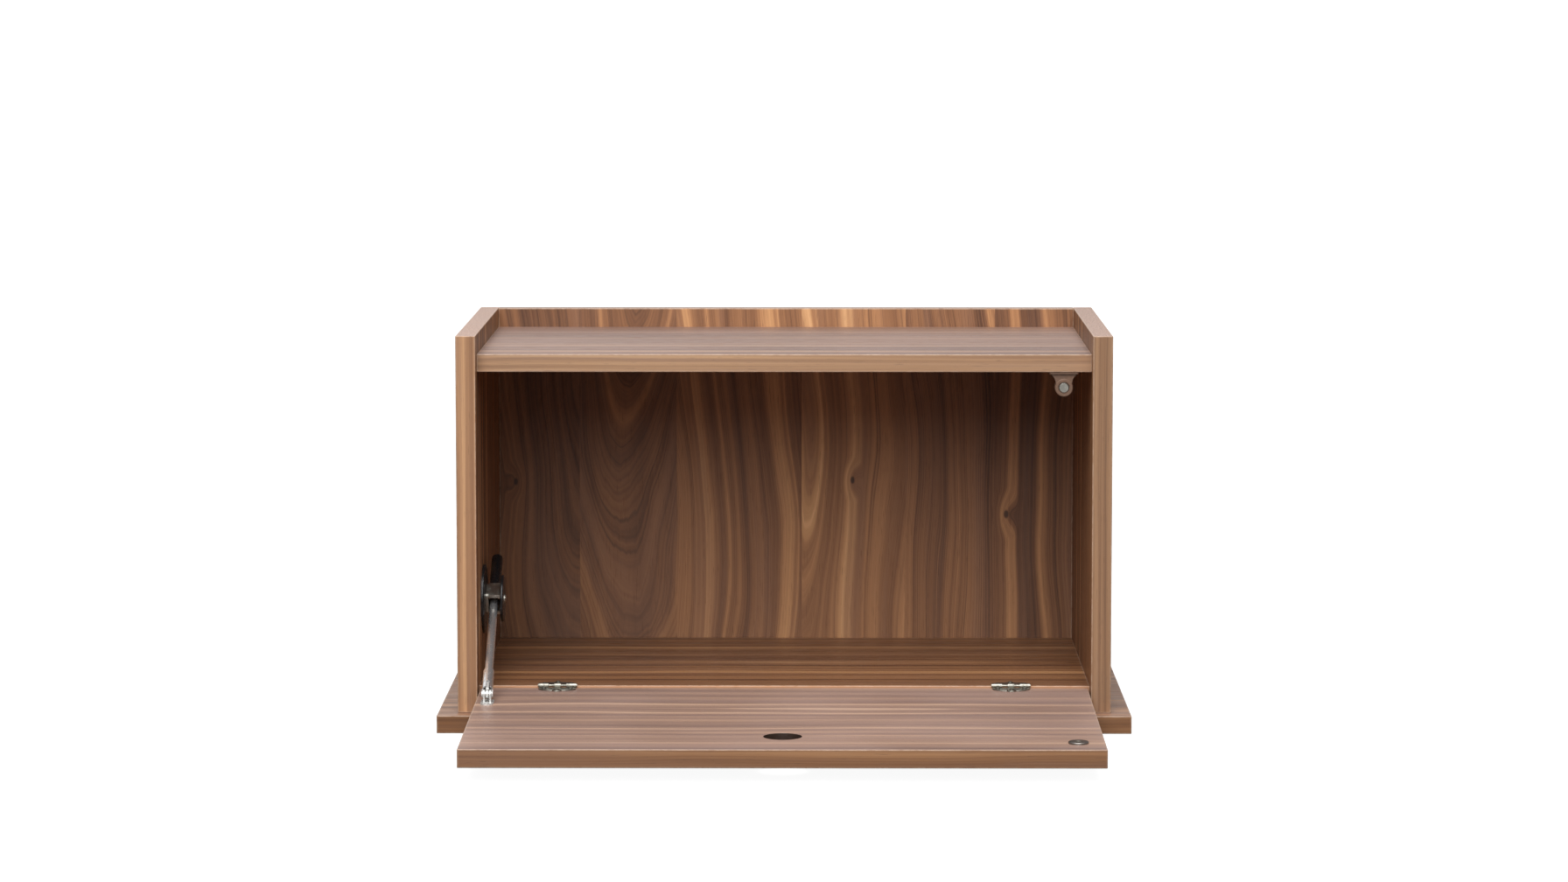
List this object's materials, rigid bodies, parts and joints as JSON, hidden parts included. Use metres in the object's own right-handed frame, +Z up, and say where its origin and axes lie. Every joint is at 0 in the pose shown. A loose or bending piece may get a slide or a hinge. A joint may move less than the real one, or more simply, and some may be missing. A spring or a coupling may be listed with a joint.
{
  "type": "cube storage unit",
  "caption": "Low walnut storage box on a base plate, with a drop-down flap on surface hinges, a lid stay, a magnet catch and a rimmed top tray.",
  "frame": {"origin": "centre of the base plate's underside, on the surface that the unit stands on", "axes": "+X to the right seen from the front, +Y from the flap to the back, +Z up"},
  "size_m": [0.7, 0.6955, 0.4],
  "materials": {
    "walnut_base": "satin walnut veneer, open grain",
    "walnut_sides": "satin walnut veneer, open grain",
    "walnut_back": "satin walnut veneer, open grain",
    "walnut_top": "satin walnut veneer, open grain",
    "walnut_floor": "satin walnut veneer, open grain",
    "walnut_flap": "satin walnut veneer, open grain",
    "dowel_beech": "plain beech",
    "screw_zinc": "zinc plated",
    "hinge_nickel": "nickel plated, satin",
    "catch_plastic": "moulded brown plastic",
    "catch_steel": "zinc plated steel",
    "stay_black": "satin black moulded plastic",
    "stay_steel": "zinc plated steel",
    "stay_chrome": "bright chrome"
  },
  "bodies": {
    "cabinet": {"base_plate": "walnut_base", "left_side_panel": "walnut_sides", "right_side_panel": "walnut_sides", "back_panel": "walnut_back", "top_panel": "walnut_top", "floor_panel": "walnut_floor", "panel_dowels": "dowel_beech", "base_screws": "screw_zinc", "left_hinge_floor_leaf": "hinge_nickel", "left_hinge_pin": "hinge_nickel", "right_hinge_floor_leaf": "hinge_nickel", "right_hinge_pin": "hinge_nickel", "hinge_floor_screws": "hinge_nickel", "magnet_housing": "catch_plastic", "magnet_core": "catch_steel", "magnet_screws": "screw_zinc", "stay_base_disc": "stay_black", "stay_base_screws": "screw_zinc", "stay_swivel_pin": "stay_steel"},
    "flap": {"flap_panel": "walnut_flap", "left_hinge_flap_leaf": "hinge_nickel", "right_hinge_flap_leaf": "hinge_nickel", "hinge_flap_screws": "hinge_nickel", "strike_plate": "catch_steel", "strike_screw": "screw_zinc", "stay_foot": "stay_steel", "stay_foot_pin": "stay_steel", "stay_foot_screws": "screw_zinc"},
    "stay_arm": {"stay_arm_rod": "stay_chrome", "stay_arm_tube": "stay_chrome", "stay_arm_tongue": "stay_steel", "stay_sleeve": "stay_black"},
    "stay_swivel": {"stay_guide": "stay_steel", "stay_cover_disc": "stay_black", "stay_brake_screw": "stay_steel"}
  },
  "joints": [
    {"name": "flap_hinge", "type": "hinge", "parent": "cabinet", "child": "flap", "pos_m": [0, -0.1582, 0.0426], "axis": [-1, 0, 0], "range_deg": [0, 91]},
    {"name": "stay_foot_pivot", "type": "hinge", "parent": "flap", "child": "stay_arm", "pos_m": [-0.2955, -0.2463, 0.04766], "axis": [-1, 0, 0], "range_deg": [-57.35, 0]},
    {"name": "stay_swivel_pivot", "type": "hinge", "parent": "cabinet", "child": "stay_swivel", "pos_m": [-0.31, -0.083, 0.121], "axis": [-1, 0, 0], "range_deg": [0, 33.66]}
  ],
  "couplings": [
    {"joint": "stay_foot_pivot", "follows": "flap_hinge", "ratio": -0.6302},
    {"joint": "stay_swivel_pivot", "follows": "flap_hinge", "ratio": 0.3698}
  ]
}
